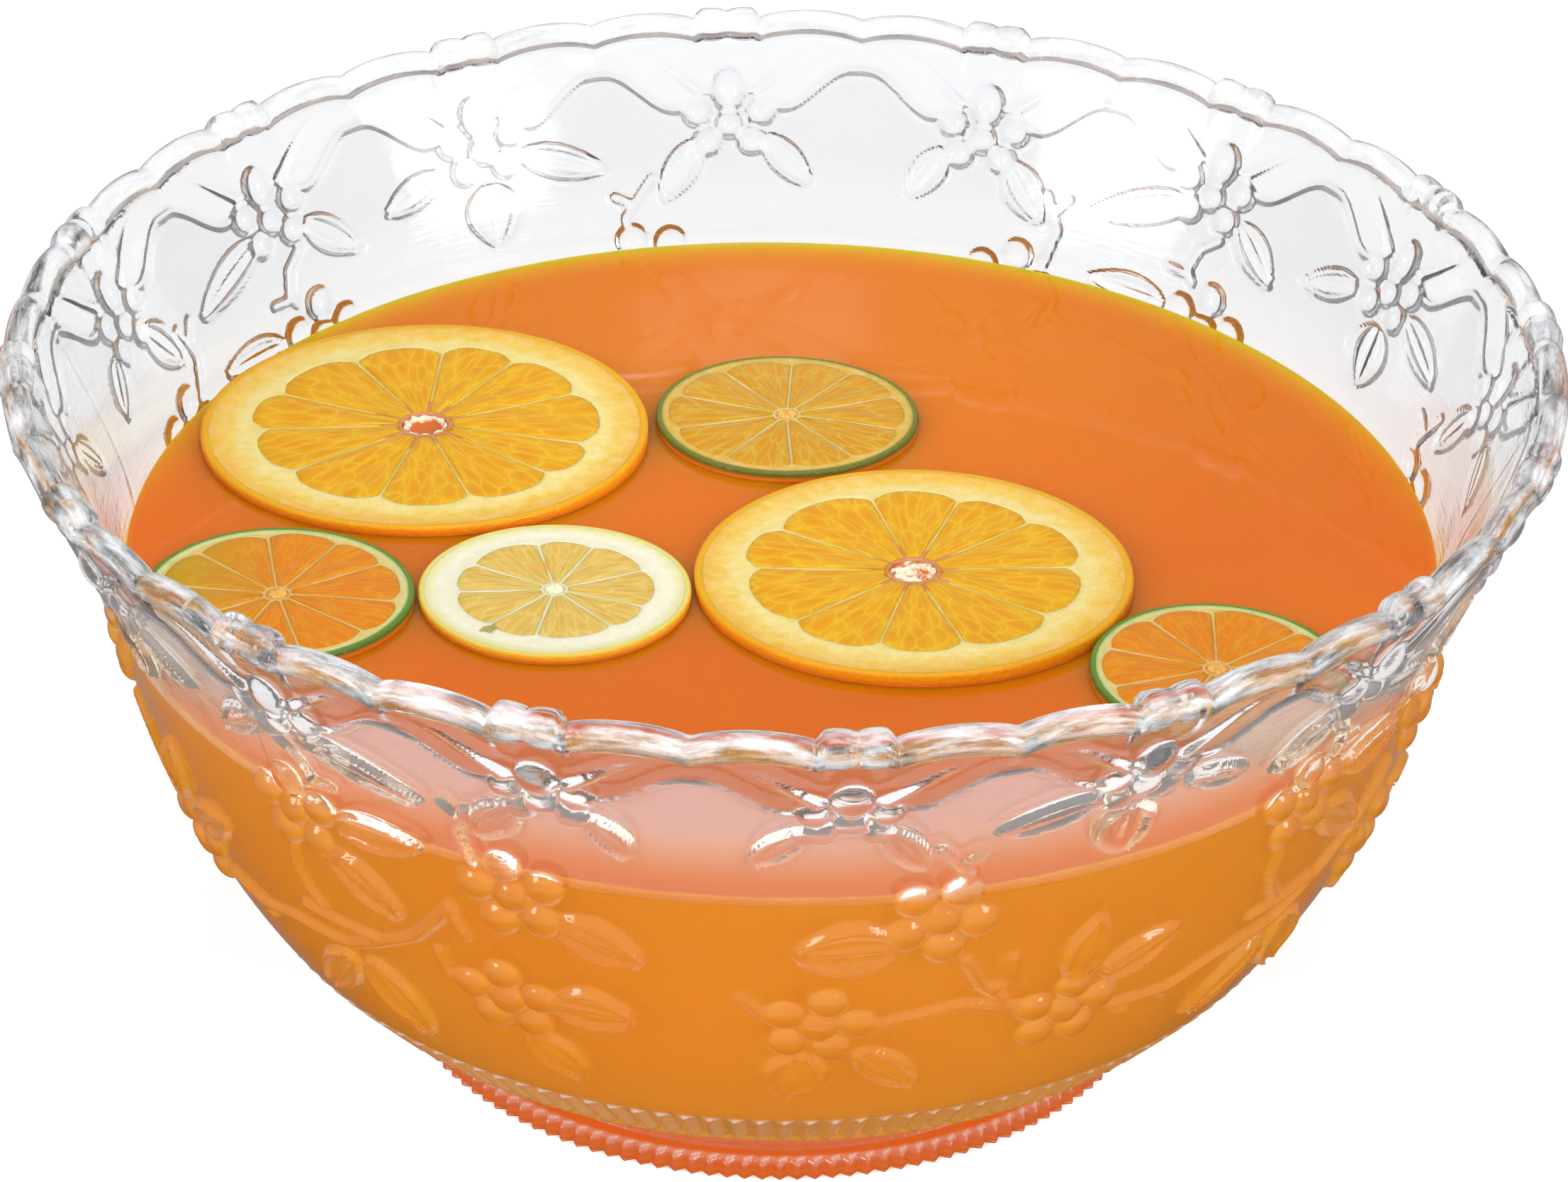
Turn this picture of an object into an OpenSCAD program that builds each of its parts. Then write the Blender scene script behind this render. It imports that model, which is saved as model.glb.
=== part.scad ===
// Clear moulded punch bowl with orange punch and six floating citrus slices.
// The origin is the centre of the foot's underside, +Z up, the front is -Y. Millimetres.

/* [Bowl] */
// Radius of the centre line of the rim bead
rim_r = 147; // [140:1:154]
// Height of the rim bead's centre above the table
rim_h = 141.2; // [138:0.2:146]
// Radius of the rim bead's round section
bead_r = 2.8; // [2.4:0.2:3.4]
// Radius of the knobs on the bead
knob_r = 3.4; // [3.2:0.1:4]
// Thickness of the bowl's side wall
wall = 2.8; // [2.2:0.2:3.4]
// Number of flowers below the rim, each with a double knob on the bead
flowers = 16; // [8:4:24]

/* [Foot and ribbed band] */
// Radius of the foot ring over its rib tips
foot_r = 76.9; // [74:0.1:80]
// Height of the foot ring
foot_h = 4.2; // [4:0.1:6]
// Number of ribs in the band and in the foot ring
ribs = 140; // [100:4:160]
// Depth of the grooves between ribs
rib_depth = 1.6; // [1:0.2:2]

/* [Relief] */
// Radius of the balls that make up the berries and flowers
berry_r = 3.7; // [3:0.1:4.2]
// How far a berry ball stands out of the wall
berry_out = 1.8; // [1.2:0.1:2.2]
// Distance from the middle ball of a cluster to the five round it
cluster_r = 7.1; // [6.6:0.1:8]

/* [Punch] */
// Height of the liquid's surface above the table
punch_level = 98.6; // [90:0.2:104]
// Gap between a floating slice and the liquid's solid
slice_gap = 0.3; // [0.2:0.1:0.5]

/* [Fruit slices] */
// Thickness of every slice
slice_t = 6.5; // [5:0.5:8]
// Height of an orange slice's top face above the liquid
orange_up = 2.4; // [1:0.2:3.2]
// Height of a lime or lemon slice's top face above the liquid
lime_up = 1.8; // [1:0.2:3]
// Width of the membranes between pulp segments
membrane = 0.6; // [0.4:0.1:1]

/* [Hidden] */
$fn = 96;

// Fruit: radius of the slice is in the slice; the rest goes with the kind.
// [peel thickness, pulp radius / slice radius, core radius, rise above the liquid,
//  peel colour, pith colour, pulp colour, core colour]
ORANGE = [1.6, 0.76, 4.6, orange_up, "gold", "lemonchiffon", "orange", "ivory"];
LIME = [1.2, 0.90, 2.2, lime_up, "olivedrab", "palegoldenrod", "goldenrod", "wheat"];
LEMON = [1.2, 0.73, 2.0, lime_up, "khaki", "ivory", "palegoldenrod", "ivory"];

// Slices: [kind, x, y, radius, number of pulp segments, turn of the first segment]
ORANGE_LEFT = [ORANGE, -72, 40.5, 43.5, 11, 8];
ORANGE_RIGHT = [ORANGE, 25.5, -15, 41.5, 10, 20];
LIME_BACK = [LIME, 0.5, 48.5, 26, 10, 0];
LIME_LEFT = [LIME, -96.5, -27, 26, 10, 12];
LIME_RIGHT = [LIME, 82.5, -49, 24.25, 9, 25];
LEMON_FRONT = [LEMON, -43.5, -23.5, 26, 9, 5];
SLICES = [ORANGE_LEFT, ORANGE_RIGHT, LIME_BACK, LIME_LEFT, LIME_RIGHT, LEMON_FRONT];

// Heights and radii of the base, from the foot up to the ribbed band
recess_h = 3;
recess_r = foot_r - 9;
waist = [foot_r - 8, foot_h + 3];
band_low = [94.2, 21.2];
band_top = [106.6, 34.5];
floor_in = [58, 7];

// Side wall, outside: a bulging lower curve, then a flare up to the rim bead
wall_low = [
    [band_top[0] - 0.8, band_top[1] - 0.4],
    [118.6, 52],
    [127.3, 76],
    [131, 98]
];
wall_flare = [
    [131, 98],
    [133.2, 111],
    [140, 122],
    [rim_r + 0.9, rim_h - 0.6]
];
steps = 8;

function bezier(c, t) =
    pow(1 - t, 3) * c[0] + 3 * t * pow(1 - t, 2) * c[1] + 3 * t * t * (1 - t) * c[2] + pow(t, 3) * c[3];
function slope(c, t) =
    pow(1 - t, 2) * (c[1] - c[0]) + 2 * t * (1 - t) * (c[2] - c[1]) + t * t * (c[3] - c[2]);
function inward(c, t) = [-slope(c, t)[1], slope(c, t)[0]] / norm(slope(c, t));
function outer_points(c) = [for (i = [0:steps]) bezier(c, i / steps)];
function inner_points(c) =
    [for (i = [0:steps]) bezier(c, i / steps) + wall * inward(c, i / steps)];

// Inside of the base: from the flat floor, rounded up into the side wall
base_in = [floor_in, [68, 7], [86, 22], inner_points(wall_low)[0]];

// Outline of the hollow from the middle of the floor to above the rim
hollow_outline = concat(
    [[0, floor_in[1]]],
    outer_points(base_in),
    [for (i = [1:steps]) inner_points(wall_low)[i]],
    [for (i = [1:steps]) inner_points(wall_flare)[i]],
    [[0, inner_points(wall_flare)[steps][1]]]
);

// The solid of revolution stays a little inside the bottoms of the grooves
function under_ribs(tip_r) = tip_r - rib_depth - 0.8;

// Outline of the bowl as a solid of revolution, before it is hollowed
outer_outline = concat(
    [[0, recess_h], [recess_r, recess_h], [recess_r + 1, 0], [under_ribs(foot_r), 0]],
    [[under_ribs(foot_r), foot_h + 1], [foot_r - 5, foot_h + 2], waist],
    [[under_ribs(band_low[0]), band_low[1] + 0.4]],
    [[under_ribs(band_top[0]), band_top[1] - 0.4]],
    outer_points(wall_low),
    [for (i = [1:steps]) outer_points(wall_flare)[i]],
    [[0, rim_h - 0.6]]
);

// A star outline: one point at each rib tip and one in each groove
function star(tip_r, depth) = [
    for (i = [0:2 * ribs - 1])
        (tip_r - (i % 2) * depth) * [cos(i * 180 / ribs), sin(i * 180 / ribs)]
];

// Clusters of six berries, repeated in each quarter of the wall
// [degrees from the front, height above the table, turn of the five outer berries]
CLUSTERS = [
    [-42.2, 95.6, 95], [-21.3, 93.1, 101], [13.2, 93.1, 62],
    [-23.4, 64.9, 91], [3.8, 66.8, 77], [26, 62.8, 85]
];

// Flowers below the rim: turn of the first one, and the turn of each knob from the pair's middle
first_flower = 5.3;
knob_turn = 1.4;
// A drop hangs under each pair of knobs, above the flower's round middle
drop_z = 128;
drop_r = 4.3;
drop_out = 2.2;
flower_z = 121.2;

// Radius and slope of the side wall's outside at a height
wall_table = [
    for (c = [wall_low, wall_flare], i = [0:steps - 1]) [outer_points(c)[i][1], outer_points(c)[i][0]]
];
function wall_r(z) = lookup(z, wall_table);
function wall_lean(z) = atan((wall_r(z + 1) - wall_r(z - 1)) / 2);

// A ball of radius r sunk into the side wall, standing out by out
module wall_ball(angle, z, r, out) {
    rotate([0, 0, angle])
        translate([0, -wall_r(z), z])
            rotate([wall_lean(z), 0, 0])
                translate([0, r - out, 0]) sphere(r = r, $fn = 24);
}

module berries() {
    for (quarter = [0:90:270], c = CLUSTERS) {
        wall_ball(quarter + c[0], c[1], berry_r, berry_out);
        for (k = [0:4]) {
            across = cluster_r * cos(c[2] + 72 * k);
            up = cluster_r * sin(c[2] + 72 * k) * cos(wall_lean(c[1]));
            wall_ball(quarter + c[0] + atan(across / wall_r(c[1])), c[1] + up, berry_r, berry_out);
        }
    }
}

// Under each double knob a drop, and the round middle of a flower
module rim_flowers() {
    for (i = [0:flowers - 1]) {
        angle = first_flower + i * 360 / flowers;
        wall_ball(angle, drop_z, drop_r, drop_out);
        wall_ball(angle, flower_z, berry_r, berry_out);
    }
}

module hollow() {
    rotate_extrude($fn = 180) polygon(hollow_outline);
}

module rim_bead() {
    rotate_extrude($fn = 180) translate([rim_r, rim_h]) circle(r = bead_r, $fn = 32);
}

// Two knobs side by side on the bead at each flower
module rim_knobs() {
    for (i = [0:flowers - 1], side = [-1, 1])
        rotate([0, 0, first_flower + i * 360 / flowers + side * knob_turn])
            translate([0, -rim_r, rim_h]) sphere(r = knob_r, $fn = 32);
}

module foot_ribs() {
    difference() {
        linear_extrude(height = foot_h) polygon(star(foot_r, rib_depth));
        translate([0, 0, -1]) cylinder(r = foot_r - rib_depth - 2, h = foot_h + 2);
    }
}

module band_ribs() {
    translate([0, 0, band_low[1]])
        linear_extrude(height = band_top[1] - band_low[1], scale = band_top[0] / band_low[0])
            polygon(star(band_low[0], rib_depth));
}

module bowl() {
    color("aliceblue", 0.4) {
        difference() {
            union() {
                rotate_extrude($fn = 180) polygon(outer_outline);
                berries();
                rim_flowers();
                foot_ribs();
                band_ribs();
            }
            hollow();
        }
        rim_bead();
        rim_knobs();
    }
}

function slice_base(s) = punch_level + s[0][3] - slice_t;

module slice_disc(s, r, lift = 0, h = slice_t) {
    translate([s[1], s[2], slice_base(s) + lift]) cylinder(r = r, h = h);
}

module punch() {
    color("darkorange", 0.8)
        difference() {
            intersection() {
                hollow();
                cylinder(r = rim_r, h = punch_level);
            }
            for (s = SLICES) slice_disc(s, s[3] + slice_gap, lift = -slice_gap, h = slice_t + 2);
        }
}

// One pulp segment: a wedge from the core out to a rounded end that dips at its corners
function segment_side(s, r) = 180 / s[4] - asin(membrane / (2 * r));
function segment_outline(s) = let (
    r_out = s[3] * s[0][1],
    r_in = s[0][2] + membrane,
    side_out = segment_side(s, r_out),
    side_in = segment_side(s, r_in)
) concat(
    [r_in * [cos(side_in), sin(-side_in)]],
    [for (u = [-1:1/6:1])
        r_out * (1 - 0.13 * pow(u, 4)) * [cos(u * side_out), sin(u * side_out)]],
    [r_in * [cos(side_in), sin(side_in)]]
);

module slice_pulp(s, over = 0) {
    for (i = [0:s[4] - 1])
        translate([s[1], s[2], slice_base(s) - over])
            rotate([0, 0, s[5] + i * 360 / s[4]])
                linear_extrude(height = slice_t + 2 * over) polygon(segment_outline(s));
}

module slice_peel(s) {
    color(s[0][4])
        difference() {
            slice_disc(s, s[3]);
            slice_disc(s, s[3] - s[0][0], lift = -1, h = slice_t + 2);
        }
}

module slice_pith(s) {
    color(s[0][5])
        difference() {
            slice_disc(s, s[3] - s[0][0]);
            slice_disc(s, s[0][2], lift = -1, h = slice_t + 2);
            slice_pulp(s, over = 1);
        }
}

module slice_segments(s) {
    color(s[0][6]) slice_pulp(s);
}

module slice_core(s) {
    color(s[0][7]) slice_disc(s, s[0][2]);
}

bowl();
punch();
slice_peel(ORANGE_LEFT);  // orange_left_peel
slice_pith(ORANGE_LEFT);  // orange_left_pith
slice_segments(ORANGE_LEFT);  // orange_left_segments
slice_core(ORANGE_LEFT);  // orange_left_core
slice_peel(ORANGE_RIGHT);  // orange_right_peel
slice_pith(ORANGE_RIGHT);  // orange_right_pith
slice_segments(ORANGE_RIGHT);  // orange_right_segments
slice_core(ORANGE_RIGHT);  // orange_right_core
slice_peel(LIME_BACK);  // lime_back_peel
slice_pith(LIME_BACK);  // lime_back_pith
slice_segments(LIME_BACK);  // lime_back_segments
slice_core(LIME_BACK);  // lime_back_core
slice_peel(LIME_LEFT);  // lime_left_peel
slice_pith(LIME_LEFT);  // lime_left_pith
slice_segments(LIME_LEFT);  // lime_left_segments
slice_core(LIME_LEFT);  // lime_left_core
slice_peel(LIME_RIGHT);  // lime_right_peel
slice_pith(LIME_RIGHT);  // lime_right_pith
slice_segments(LIME_RIGHT);  // lime_right_segments
slice_core(LIME_RIGHT);  // lime_right_core
slice_peel(LEMON_FRONT);  // lemon_peel
slice_pith(LEMON_FRONT);  // lemon_pith
slice_segments(LEMON_FRONT);  // lemon_segments
slice_core(LEMON_FRONT);  // lemon_core
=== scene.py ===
"""A clear moulded punch bowl with orange punch and six floating citrus slices, on a pale studio floor."""
import math

import bpy
import numpy as np
from mathutils import Matrix, Vector


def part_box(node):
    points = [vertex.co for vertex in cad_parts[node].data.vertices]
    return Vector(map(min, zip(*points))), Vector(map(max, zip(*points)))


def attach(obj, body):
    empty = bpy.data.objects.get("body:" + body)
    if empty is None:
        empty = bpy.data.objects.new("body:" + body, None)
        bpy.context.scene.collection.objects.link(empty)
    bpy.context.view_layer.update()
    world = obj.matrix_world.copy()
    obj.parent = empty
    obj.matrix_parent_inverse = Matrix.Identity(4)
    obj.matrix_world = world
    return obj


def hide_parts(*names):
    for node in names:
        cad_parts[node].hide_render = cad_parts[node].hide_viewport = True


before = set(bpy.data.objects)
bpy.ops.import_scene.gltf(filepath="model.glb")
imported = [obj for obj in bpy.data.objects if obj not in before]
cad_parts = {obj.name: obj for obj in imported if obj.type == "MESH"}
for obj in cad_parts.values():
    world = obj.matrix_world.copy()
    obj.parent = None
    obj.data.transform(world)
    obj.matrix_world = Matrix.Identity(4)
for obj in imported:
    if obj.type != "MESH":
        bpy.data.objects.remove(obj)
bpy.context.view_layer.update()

MM = 0.001

# ---------------------------------------------------------------- sizes, in millimetres, as in the CAD source
KNOB_R = 3.4
BEAD_R = 2.8
RIM_R, RIM_H = 147.0, 141.2
WALL = 2.8
FOOT_R, FOOT_H = 76.9, 4.2
RIBS, RIB_DEPTH = 140, 1.6
RECESS_H = 3.0
BAND_LOW = (94.2, 21.2)
BAND_TOP = (106.6, 34.5)
INSIDE_FLOOR = 7
PUNCH_LEVEL = 98.6
SKIN = 0.35  # how far the punch's sides reach into the acrylic, so that no gap shows
SLICE_T = 6.5
RIB_POINTS = 8  # mesh points round the bowl for each rib
COLS = RIBS * RIB_POINTS
FLOWER_ANGLES = (-39.7, -17.2, 5.3, 27.8)  # the rim's flowers in one quarter, in degrees from the front


# ---------------------------------------------------------------- small helpers
def bezier(c, t):
    c = [np.array(p, float) for p in c]
    t = np.asarray(t, float)[:, None]
    return (1 - t) ** 3 * c[0] + 3 * t * (1 - t) ** 2 * c[1] + 3 * t * t * (1 - t) * c[2] + t ** 3 * c[3]


def smooth(a, b, x):
    t = np.clip((x - a) / (b - a), 0, 1)
    return t * t * (3 - 2 * t)


def outward(p):
    """Unit normals of a profile given as (r, z) points, on its outer side."""
    d = np.gradient(p, axis=0)
    n = np.stack([d[:, 1], -d[:, 0]], 1)
    return n / np.linalg.norm(n, axis=1)[:, None]


def by_length(p, step):
    """The points of a profile spaced about step apart, and their distance along it."""
    s = np.concatenate([[0], np.cumsum(np.hypot(*np.diff(p, axis=0).T))])
    at = np.linspace(0, s[-1], max(2, int(round(s[-1] / step)) + 1))
    return np.stack([np.interp(at, s, p[:, 0]), np.interp(at, s, p[:, 1])], 1), at


def new_mesh(name, verts_mm, faces, uv=None, finish_and_painted_light=None):
    """A smooth-shaded mesh object from points in millimetres. uv and finish are given for each vertex."""
    mesh = bpy.data.meshes.new(name)
    v = np.asarray(verts_mm, np.float32) * MM
    mesh.vertices.add(len(v))
    mesh.vertices.foreach_set("co", v.ravel())
    sizes = np.array([len(f) for f in faces], np.int32)
    loops = np.concatenate([np.asarray(f, np.int32) for f in faces]) if len(faces) else np.zeros(0, np.int32)
    mesh.loops.add(len(loops))
    mesh.loops.foreach_set("vertex_index", loops)
    mesh.polygons.add(len(sizes))
    mesh.polygons.foreach_set("loop_start", np.concatenate([[0], np.cumsum(sizes)[:-1]]).astype(np.int32))
    mesh.polygons.foreach_set("loop_total", sizes)
    mesh.update(calc_edges=True)
    mesh.validate()
    mesh.polygons.foreach_set("use_smooth", np.ones(len(mesh.polygons), bool))
    if uv is not None:
        layer = mesh.uv_layers.new(name="pattern")
        index = np.zeros(len(mesh.loops), np.int32)
        mesh.loops.foreach_get("vertex_index", index)
        layer.data.foreach_set("uv", np.asarray(uv, np.float32)[index].ravel())
    # the finish layer holds painted shade and painted highlights as well as the acrylic's milkiness
    if finish_and_painted_light is not None:
        layer = mesh.attributes.new("finish_and_painted_light", "FLOAT_COLOR", "POINT")
        layer.data.foreach_set("color", np.asarray(finish_and_painted_light, np.float32).ravel())
    obj = bpy.data.objects.new(name, mesh)
    bpy.context.scene.collection.objects.link(obj)
    return obj


def ring_faces(rows, cols):
    """Quads between successive rings of cols points each, as an (n, 4) array."""
    i = np.arange(rows - 1)[:, None] * cols
    j = np.arange(cols)[None, :]
    k = (j + 1) % cols
    return np.stack([i + j, i + k, i + cols + k, i + cols + j], -1).reshape(-1, 4)


def lathe(name, rings_r, rings_z, angles, v_of_row, bottom_pole, top_pole, finish_and_painted_light=None):
    """A closed body of revolution: rings_r and rings_z are (rows, cols), from one pole round to the other."""
    rows, cols = rings_r.shape
    x = rings_r * np.sin(angles)
    y = -rings_r * np.cos(angles)
    verts = np.stack([x, y, rings_z], -1).reshape(-1, 3)
    verts = np.concatenate([verts, [[0, 0, bottom_pole], [0, 0, top_pole]]])
    faces = [f for f in ring_faces(rows, cols)]
    a, b = rows * cols, rows * cols + 1
    last = (rows - 1) * cols
    for j in range(cols):
        k = (j + 1) % cols
        faces.append((a, k, j))
        faces.append((b, last + j, last + k))
    u = np.broadcast_to(angles / (2 * math.pi), (rows, cols))
    v = np.broadcast_to(np.asarray(v_of_row)[:, None], (rows, cols))
    uv = np.concatenate([np.stack([u, v], -1).reshape(-1, 2), [[0, 0], [0, 1]]])
    if finish_and_painted_light is not None:
        finish_and_painted_light = np.concatenate([finish_and_painted_light.reshape(-1, 4), np.zeros((2, 4))])
    return new_mesh(name, verts, faces, uv, finish_and_painted_light)


# ---------------------------------------------------------------- the bowl's profile
wall_low = [(BAND_TOP[0] - 0.8, BAND_TOP[1] - 0.4), (118.6, 52), (127.3, 76), (131, 98)]
wall_flare = [(131, 98), (133.2, 111), (140, 122), (RIM_R + 0.9, RIM_H - 0.6)]
fine = np.linspace(0, 1, 200)
outer = np.concatenate([bezier(wall_low, fine), bezier(wall_flare, fine)[1:]])
inner_wall = outer - WALL * outward(outer)
base_in = bezier([(58, INSIDE_FLOOR), (68, INSIDE_FLOOR), (86, 22), tuple(inner_wall[0])], fine)
inner = np.concatenate([base_in, inner_wall[1:]])
PATTERN_START = 40.0  # what the relief's distance up the wall reads at the top of the ribbed band


# ---------------------------------------------------------------- the relief on the outer wall
class Relief:
    """Heights in millimetres over one quarter of the wall; what is drawn repeats every 90 degrees."""

    def __init__(self, theta, s, r):
        self.theta = theta[None, :]
        self.s = s[:, None]
        self.r = r[:, None]
        self.h = np.zeros((len(s), len(theta)))

    def place(self, theta0, s0):
        """Distances across and up from a point on the wall."""
        d = (self.theta - theta0 + 45) % 90 - 45
        return np.radians(d) * self.r, self.s - s0 + 0 * d

    def top(self, h):
        self.h = np.maximum(self.h, h)

    def ball(self, theta0, s0, radius, out, stretch=1.0):
        x, y = self.place(theta0, s0)
        d2 = (x ** 2 + (y / stretch) ** 2) / radius ** 2
        self.top(out * np.clip(1 - d2, 0, None) ** 0.6)

    def berries(self, theta0, s0, turn, radius=3.75, out=2.0):
        r0 = float(np.interp(s0, self.s[:, 0], self.r[:, 0]))
        self.ball(theta0, s0, radius, out + 0.25)
        for k in range(5):
            a = math.radians(turn + 72 * k)
            self.ball(theta0 + math.degrees(7.1 * math.cos(a) / r0), s0 + 7.1 * math.sin(a), radius, out)

    def leaf(self, base, tip, width):
        x, y = self.place(*base)
        r0 = float(np.interp((base[1] + tip[1]) / 2, self.s[:, 0], self.r[:, 0]))
        ax, ay = math.radians(tip[0] - base[0]) * r0, tip[1] - base[1]
        length = math.hypot(ax, ay)
        ax, ay = ax / length, ay / length
        t = (x * ax + y * ay) / length
        n = -x * ay + y * ax
        tt = np.clip(t, 0, 1)
        half = width / 2 * np.sin(math.pi * tt ** 0.85) ** 0.75 + 1e-6
        q = np.abs(n) / half
        inside = (t > 0) & (t < 1)
        edge = 1.15 * np.exp(-((q - 0.80) / 0.25) ** 2)
        between = smooth(0.1, 0.3, q) * (1 - smooth(0.6, 0.8, q)) * (1 - smooth(0.7, 0.9, q))
        veins = 0.04 * np.cos((tt * length - 0.8 * np.abs(n)) * 2 * math.pi / 2.6) * between
        vein = 0.80 * np.exp(-(n / 0.85) ** 2) * (1 - tt) ** 0.3
        body = 0.55 * (1 - smooth(0.85, 1.05, q))
        h = np.maximum(np.maximum(edge, vein), 0) * (1 - smooth(0.88, 1.2, q)) + body + veins
        fade = smooth(0.0, 0.06, t) * (1 - smooth(0.95, 1.0, t))
        self.top(np.where(inside, h, 0) * fade)

    def stem(self, points, width=2.4, height=1.2, taper=0.0):
        x, y = self.place(*points[0])
        r0 = float(np.interp(points[0][1], self.s[:, 0], self.r[:, 0]))
        p = np.array([(math.radians(a - points[0][0]) * r0, b - points[0][1]) for a, b in points])
        total = np.hypot(*np.diff(p, axis=0).T).sum()
        run = 0.0
        for a, b in zip(p[:-1], p[1:]):
            d = b - a
            seg = math.hypot(*d)
            t = np.clip(((x - a[0]) * d[0] + (y - a[1]) * d[1]) / seg ** 2, 0, 1)
            dist = np.hypot(x - a[0] - t * d[0], y - a[1] - t * d[1])
            along = (run + t * seg) / total
            half = width / 2 * (1 - taper * along)
            self.top(height * (1 - taper * along) * np.clip(1 - (dist / half) ** 2, 0, None) ** 0.7)
            run += seg


# What is drawn on a quarter of the wall. A place is (degrees round from the front, millimetres up the wall),
# read off the photograph's wall laid out flat. Berry clusters: the place, and the turn in degrees of
# the five outer berries
BERRIES = (
    (-42.2, 106.8, 95), (-21.3, 104.3, 101), (13.2, 104.3, 62),
    (-23.4, 74.8, 91), (3.75, 76.9, 77), (26, 72.6, 85),
)
# Leaves: the places of base and tip, and the width in millimetres
LEAVES = (
    # below the rim flowers
    ((-38.2, 131.7), (-27.8, 123), 8), ((-43, 131), (-48.5, 121), 8),
    ((-19.7, 130.2), (-23.7, 118.3), 9), ((-14, 131), (-10.9, 119.4), 7.5),
    ((2.3, 131.5), (-2.1, 120.5), 7), ((7.9, 131), (11.7, 117.7), 7.5),
    ((24.7, 132), (16.3, 125.6), 7.5), ((31.8, 131.2), (38.4, 125.6), 7),
    ((27.5, 127.2), (27.6, 113.4), 13),
    # beside the upper berries
    ((-37.7, 109), (-28.8, 110), 8), ((-39, 100.7), (-32.1, 89.6), 9),
    ((-17.8, 100.7), (-10.4, 92.8), 10), ((10, 99), (1.4, 97.5), 13),
    # beside the lower berries
    ((-19, 77.7), (-11.6, 76.6), 12), ((-21.9, 66.2), (-17.6, 52.9), 10.8),
    ((2.5, 68.6), (1.2, 53.2), 12), ((7.2, 69.4), (13.3, 55.6), 8.7),
    ((25.8, 81.9), (27.4, 98.3), 9.5), ((28.6, 80.5), (36.1, 88.4), 8.7),
    ((-38.2, 72.6), (-34.2, 52.2), 12), ((-40.4, 70.5), (-47.3, 52.5), 9),
)
# Stems: the places that each one passes through
STEMS = (
    ((-41.7, 126), (-40, 123), (-39.3, 118), (-40, 115.6)),
    ((-39.6, 117), (-37.2, 117.3)),
    ((-43.6, 97), (-43.9, 91), (-43.1, 86), (-41.9, 82.5)),
    ((-44.6, 79.9), (-41, 80), (-36.3, 80.3)),
    ((31, 69.8), (37, 68.6), (42.3, 72.6), (50, 73.8), (53.7, 78), (59.8, 85.6), (63.6, 93.5), (65.2, 97.8)),
    ((37, 68.6), (37.4, 66.3)), ((33.5, 69), (32.6, 66.3)),
    ((-27.3, 95.7), (-26.1, 90.6)),
    ((-29.3, 84), (-29, 78.5), (-27, 77)),
    ((-24.5, 110), (-25.5, 118), (-24, 125)), ((-24.8, 121), (-26.2, 125)),
    ((12.5, 123.3), (15.1, 115.3), (14.9, 113)), ((14.4, 118), (16, 120)),
    ((8.8, 77.3), (12.5, 79.3), (16, 80.9), (21.6, 77.3)),
    ((15.6, 93.2), (17.4, 85.3), (19.5, 80.5)), ((18, 84), (20, 85.3), (19.8, 92)),
    ((-0.7, 80.1), (-2.8, 85.7)),
)


def rim_phase(theta):
    """Degrees from the nearest flower's centre, -11.25 to 11.25."""
    return (theta - FLOWER_ANGLES[2] + 11.25) % 22.5 - 11.25


def border_edge(theta):
    """Height of the raised border's wavy lower edge."""
    p = np.abs(rim_phase(theta))
    return 136.6 + 8.4 * smooth(4.8, 10.6, p) + 3.5 * (1 - smooth(1.5, 4.6, p))


def wall_relief(theta, s, r):
    """Height of the relief over a quarter of the wall, theta in degrees."""
    w = Relief(theta, s, r)
    # the border under the rim, with a rounded lower edge
    above = w.s - border_edge(w.theta)
    w.top(0.85 * smooth(-0.5, 0.9, above) + 0.65 * np.exp(-((above - 0.7) / 0.95) ** 2))
    for f in FLOWER_ANGLES:
        for side in (-1, 1):
            ribbon = [(f + side * d, up) for d, up in ((2.4, 140.9), (4.2, 144.4), (6.4, 148.8), (9.6, 152.2))]
            w.stem(ribbon, width=3.4, height=1.9, taper=0.6)
    for b in BERRIES:
        w.berries(*b)
    for base, tip, width in LEAVES:
        w.leaf(base, tip, width)
    for points in STEMS:
        w.stem(points)
    # flowers: five balls, and a drop that hangs from the double knob
    for f in FLOWER_ANGLES:
        w.ball(f, 133.9, 3.5, 2.5)
        for side in (-1, 1):
            w.ball(f + side * 2.75, 136.6, 3.6, 2.3)
            w.ball(f + side * 1.95, 130.4, 3.5, 2.1)
        w.ball(f, 141.2, 4.3, 2.9, stretch=1.25)
    # seams of the mould
    seam = np.abs((w.theta + 6 + 45) % 90 - 45)
    w.h = w.h + 0.14 * np.exp(-(seam / 0.16) ** 2)
    return w.h


def scallop(theta):
    """Height of the rim's centre line: arcs with a cusp between flowers and a dip beside each knob."""
    p = np.abs(rim_phase(theta))
    arc = np.clip((p - 2.7) / (11.25 - 2.7), 0, 1)
    return np.where(p > 2.7, -1.9 * (1 - np.sin(math.pi * arc) ** 0.65), -0.5 - 1.4 * smooth(2.2, 2.7, p))


def knob(theta):
    """Extra bead radius at the two knobs of each flower."""
    p = np.abs(np.abs(rim_phase(theta)) - 1.38)
    return (KNOB_R - BEAD_R + 0.3) * np.clip(1 - (p / 1.34) ** 2, 0, None) ** 0.55


def soften(a):
    """A small blur of values round the wall, so a mask's edge doesn't follow the mesh's steps."""
    for _ in range(4):
        a = (a + np.roll(a, 1, 1) + np.roll(a, -1, 1)) / 3
        a[1:-1] = (a[:-2] + a[1:-1] + a[2:]) / 3
    return a


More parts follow.
